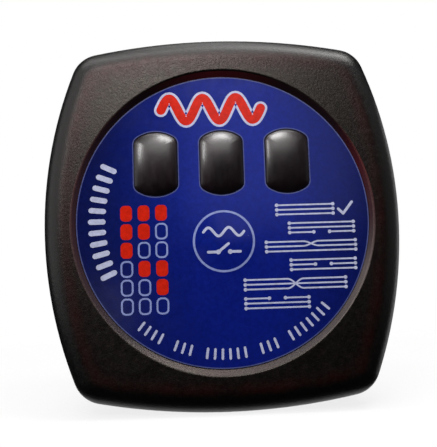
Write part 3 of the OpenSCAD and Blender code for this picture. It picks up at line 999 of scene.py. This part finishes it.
def banded(name, body, bands, length, centre_x):
    """A part that lies along x, with painted bands at shares of its length, each (share, colour)."""
    look = Look(name)
    x, _, _ = look.axes()
    share = look.math("ADD", look.math("DIVIDE", look.math("SUBTRACT", x, centre_x), length), 0.5)
    colour = look.mix(look.noise(0.5, 3), body, tuple(c * 0.7 for c in body))
    width = 0.035
    for place, paint in bands:
        near = look.math("LESS_THAN", look.math("ABSOLUTE", look.math("SUBTRACT", share, place)), width)
        colour = look.mix(near, colour, paint)
    look.set("base_color", colour)
    look.sheen(look.noise(0.6, 3), 0.29, 0.43)
    look.bump(look.noise(0.35, 3), 0.015, 0.4)
    return look.material


def finish_node(node, material, other=None, test=None, bevel=0.0):
    """Gives a CAD node a material, another where the middles of faces pass a test, and eased edges."""
    piece = frame["nodes"][node]
    piece.data.materials.clear()
    piece.data.materials.append(material)
    if other:
        piece.data.materials.append(other)
    chosen = [0] * len(piece.data.polygons)
    if test:
        middles = [p.center for p in piece.data.polygons]
        chosen = [int(test(m.x / MM, m.z / MM, -m.y / MM)) for m in middles]
    piece.data.polygons.foreach_set("material_index", chosen)
    if bevel:
        weld = piece.modifiers.new("weld", "WELD")
        weld.merge_threshold = 1e-6
        edge = piece.modifiers.new("eased_edges", "BEVEL")
        edge.width = bevel * MM
        edge.segments = 3
        edge.limit_method = "ANGLE"
        edge.angle_limit = math.radians(30)
        edge.harden_normals = True


def finish_inside():
    """The looks of the pins and everything inside: the CAD nodes that stay, and the snap dome."""
    black = moulded("black_plastic", (0.006, 0.006, 0.007), (0.014, 0.014, 0.015))
    steel = metal("zinc_steel", (0.42, 0.42, 0.44), (0.62, 0.62, 0.63), 0.3, (1, 1, 1))
    tin = metal("tinned_wire", (0.5, 0.5, 0.5), (0.72, 0.71, 0.69), 0.22, (1, 0.1, 1))
    brass = metal("drawn_brass", (0.55, 0.36, 0.13), (0.72, 0.52, 0.24), 0.27)
    copper = metal("copper", (0.55, 0.22, 0.10), (0.75, 0.36, 0.2), 0.3, (1, 0.1, 1))
    for node in ("line_pin", "neutral_pin", "earth_pin"):
        finish_node(node, brass, bevel=0.12)
    sleeve = moulded("sleeve_black", (0.008, 0.008, 0.009), (0.018, 0.018, 0.02), 0.42, 0.2)
    for node in ("line_pin_sleeve", "neutral_pin_sleeve"):
        finish_node(node, sleeve, bevel=0.08)
    plate = moulded("retainer_grey", (0.05, 0.047, 0.043), (0.09, 0.085, 0.08))
    finish_node("pin_retainer", plate, bevel=0.15)
    for node in ("case_screws", "board_screws", "retainer_screws"):
        finish_node(node, steel, bevel=0.05)
    finish_node("light_shroud", black, bevel=0.1)
    finish_node("circuit_board", circuit_laminate())
    epoxy = lamp_epoxy()
    foot = board.front + 0.2
    for node in ("led_left", "led_centre", "led_right"):
        finish_node(node, epoxy, tin, lambda x, up, out: out < foot)
    button_grey = moulded("button_grey", (0.02, 0.02, 0.022), (0.04, 0.04, 0.045), 0.4)
    finish_node("trip_button", button_grey, bevel=0.08)
    side = Span("switch_plate").wide / 2 + 0.01
    finish_node("switch_base", black, tin, lambda x, up, out: abs(x) > side or out < board.front)
    finish_node("switch_plate", steel)
    ivory = moulded("stem_ivory", (0.55, 0.5, 0.38), (0.68, 0.63, 0.5), 0.35, 0.15)
    finish_node("switch_stem", ivory, bevel=0.05)
    snap_dome(metal("spring_steel", (0.5, 0.5, 0.5), (0.68, 0.68, 0.67), 0.2, (1, 1, 1)))
    wires = {
        "line_wire": insulation("wire_brown", (0.16, 0.055, 0.02)),
        "neutral_wire": insulation("wire_blue", (0.02, 0.12, 0.5)),
        "earth_wire": insulation("wire_green_yellow", (0.04, 0.3, 0.05), (0.8, 0.62, 0.03)),
    }
    for node, material in wires.items():
        finish_node(node, material, copper, lambda x, up, out: out > board.back)
    finish_axial_parts(tin)


def finish_axial_parts(tin):
    """Resistors and diodes: painted bodies between tinned leads."""
    gold, brown, orange = (0.55, 0.36, 0.06), (0.12, 0.04, 0.015), (0.8, 0.2, 0.02)
    violet, white = (0.2, 0.04, 0.35), (0.8, 0.8, 0.78)
    silver, red = (0.6, 0.6, 0.6), (0.6, 0.02, 0.02)
    power = [(0.2, orange), (0.35, white), (0.5, red), (0.78, gold)]
    small = [(0.2, violet), (0.35, brown), (0.5, orange), (0.78, gold)]
    for nodes, body_l, body, bands in (
        (("trip_resistor_upper", "trip_resistor_lower"), 15.0, (0.2, 0.3, 0.34), power),
        (("led_resistors",), 6.3, (0.62, 0.45, 0.24), small),
        (("led_diodes",), 5.2, (0.012, 0.012, 0.013), [(0.82, silver)]),
    ):
        for node in nodes:
            span = Span(node)
            look = banded(f"{node}_body", body, bands, body_l, span.x)
            end = body_l / 2 - 0.01
            finish_node(node, look, tin, lambda x, up, out: abs(x - span.x) > end)


# ---- stage ----

def make_floor():
    """A pale floor that fades out with distance. Only the camera sees it, so it sends no light back up."""
    radius, fade_r = 600, 200
    mesh = bpy.data.meshes.new("floor")
    ring = [Vector((x, y, front.bottom)) * MM for x, y in circle(0, 0, radius, 96)]
    mesh.from_pydata(ring, [], [tuple(range(len(ring)))])
    floor = bpy.data.objects.new("floor", mesh)
    bpy.context.collection.objects.link(floor)
    look = Look("pale_floor", base_color=(0.9, 0.9, 0.9), roughness=0.9, specular=0.1)
    x, y, _ = look.axes()
    fade = look.ramp(look.math("DIVIDE", look.distance(x, y), fade_r), (0.25, 0.18), (0.8, 0.0))
    seen = look.add("ShaderNodeLightPath").outputs["Is Camera Ray"]
    look.set("alpha", look.math("MULTIPLY", fade, seen))
    mesh.materials.append(look.material)


def make_world():
    """White to the camera, and a nearly dark studio to everything else."""
    world_look = bpy.data.worlds.new("studio")
    world_look.use_nodes = True
    bpy.context.scene.world = world_look
    tree = world_look.node_tree
    tree.nodes.clear()
    path = tree.nodes.new("ShaderNodeLightPath")
    choose = tree.nodes.new("ShaderNodeMixShader")
    tree.links.new(path.outputs["Is Camera Ray"], choose.inputs[0])
    dim = (0.9, 0.95, 1.0), 0.01
    white = (1, 1, 1), 1
    for socket, (colour, strength) in zip(choose.inputs[1:], (dim, white)):
        back = tree.nodes.new("ShaderNodeBackground")
        back.inputs["Color"].default_value = (*colour, 1)
        back.inputs["Strength"].default_value = strength
        tree.links.new(back.outputs[0], socket)
    output = tree.nodes.new("ShaderNodeOutputWorld")
    tree.links.new(choose.outputs[0], output.inputs[0])


def light_group(name, pieces, state):
    """The pieces that a light is kept to (INCLUDE) or kept off (EXCLUDE)."""
    group = bpy.data.collections.new(name)
    for piece in pieces:
        group.objects.link(piece)
    for member in group.collection_objects:
        member.light_linking.link_state = state
    return group


def soft_light(name, place, size, radiance, group):
    """A rectangular soft box aimed at the panel. Place is (x, up, out) and size is (width, height)."""
    light = bpy.data.lights.new(name, "AREA")
    light.shape = "RECTANGLE"
    light.size, light.size_y = size[0] * MM, size[1] * MM
    light.energy = radiance * math.pi * light.size * light.size_y
    lamp = bpy.data.objects.new(name, light)
    lamp.location = world(*place)
    way = world(0, 0, front.front) - lamp.location
    lamp.rotation_euler = way.to_track_quat("-Z", "Y").to_euler()
    if group:
        lamp.light_linking.receiver_collection = group
    bpy.context.collection.objects.link(lamp)


def make_camera():
    """The camera stands close, a little below and left of the panel's axis, and is rolled slightly."""
    middle = world(0, 0, front.front)
    place = world(-3.07, -11.44, front.front + 109.8)
    roll = math.radians(1.84)
    camera = bpy.data.cameras.new("camera")
    camera.lens = 47.97
    camera.sensor_width = 36
    camera.shift_x, camera.shift_y = -0.0110, -0.0103
    camera.clip_start, camera.clip_end = 0.005, 10
    holder = bpy.data.objects.new("camera", camera)
    aim = (middle - place).to_track_quat("-Z", "Y").to_matrix().to_4x4()
    holder.matrix_world = Matrix.Translation(place) @ aim @ Matrix.Rotation(-roll, 4, "Z")
    bpy.context.collection.objects.link(holder)
    bpy.context.scene.camera = holder


# Soft boxes: place as (x, up, out), size as (width, height), brightness, and the pieces that they light
LIGHTS = {
    "key": ((-30, 125, 230), (110, 60), 10.5, "case"),
    "key_upper": ((0, 185, 185), (150, 70), 2.6, "case"),
    "over": ((20, 225, 95), (200, 90), 4.2, "case"),
    "over_back": ((20, 240, 15), (200, 110), 1.9, "case"),
    "over_left": ((-125, 220, 70), (120, 120), 2.8, "case"),
    "over_right": ((120, 200, 90), (90, 90), 7.0, "case"),
    "bounce": ((0, -150, -130), (300, 240), 0.6, "case"),
    "left_key": ((-130, 85, 200), (22, 110), 10.0, "case"),
    "panel_key": ((-15, 158, 213), (110, 36), 24.0, "film"),
    "panel_fill": ((0, 190, 140), (160, 100), 4.0, "film"),
    "panel_haze": ((42, 100, 330), (124, 150), 0.38, "film"),
    "panel_glint": ((-72, -30, 330), (30, 40), 0.5, "film"),
    "window_key": ((-5, 150, 190), (120, 110), 3.0, "windows"),
    "window_spot": ((4, 94, 80), (34, 29), 25.0, "windows"),
    "window_streak": ((-130, 112, 190), (24, 84), 34.0, "windows"),
    "window_over": ((0, 240, 40), (200, 120), 4.0, "windows"),
    "left": ((-220, 60, 90), (240, 240), 0.85, "all"),
    "right": ((240, 60, 90), (240, 240), 0.2, "all"),
    "rim_right": ((190, 0, -90), (80, 200), 0.95, "all"),
    "behind": ((0, 120, -220), (200, 140), 3.0, "all"),
}


def make_studio(windows, sheet):
    """Floor, backdrop, lights and camera. Some lights act on the windows, the film or the case alone."""
    make_floor()
    make_world()
    groups = {
        "all": None,
        "windows": light_group("windows", windows, "INCLUDE"),
        "film": light_group("film", [sheet], "INCLUDE"),
        "case": light_group("case", [*windows, sheet], "EXCLUDE"),
    }
    for name, (place, size, radiance, group) in LIGHTS.items():
        soft_light(name, place, size, radiance, groups[group])
    make_camera()
    bpy.context.scene.view_settings.view_transform = "Standard"


# ---- assembly ----

front_cover(front_plastic())
rear_cover(case_plastic("rear_case", (0.003, 0.0022, 0.002)).material)
glass = smoked_lens()
windows = [lens_window(node, glass) for node in LENSES]
sheet = printed_film([
    # The blue's top colour is painted light, lighter where light falls from above
    ink("blue_ink", (0.0045, 0.014, 0.25), (0.0056, 0.018, 0.29),
        top=(0.0066, 0.023, 0.34), edge=(0.005, 0.010, 0.105)),
    ink("white_ink", (0.68, 0.71, 1.0), (0.74, 0.77, 1.0)),
    ink("red_ink", (0.86, 0.020, 0.006), (0.94, 0.028, 0.009)),
    ink("pale_ink", (0.33, 0.40, 0.80), (0.41, 0.48, 0.90)),
    ink("cut_edge", (0.09, 0.11, 0.32), (0.13, 0.15, 0.38)),
])
finish_inside()
make_studio(windows, sheet)
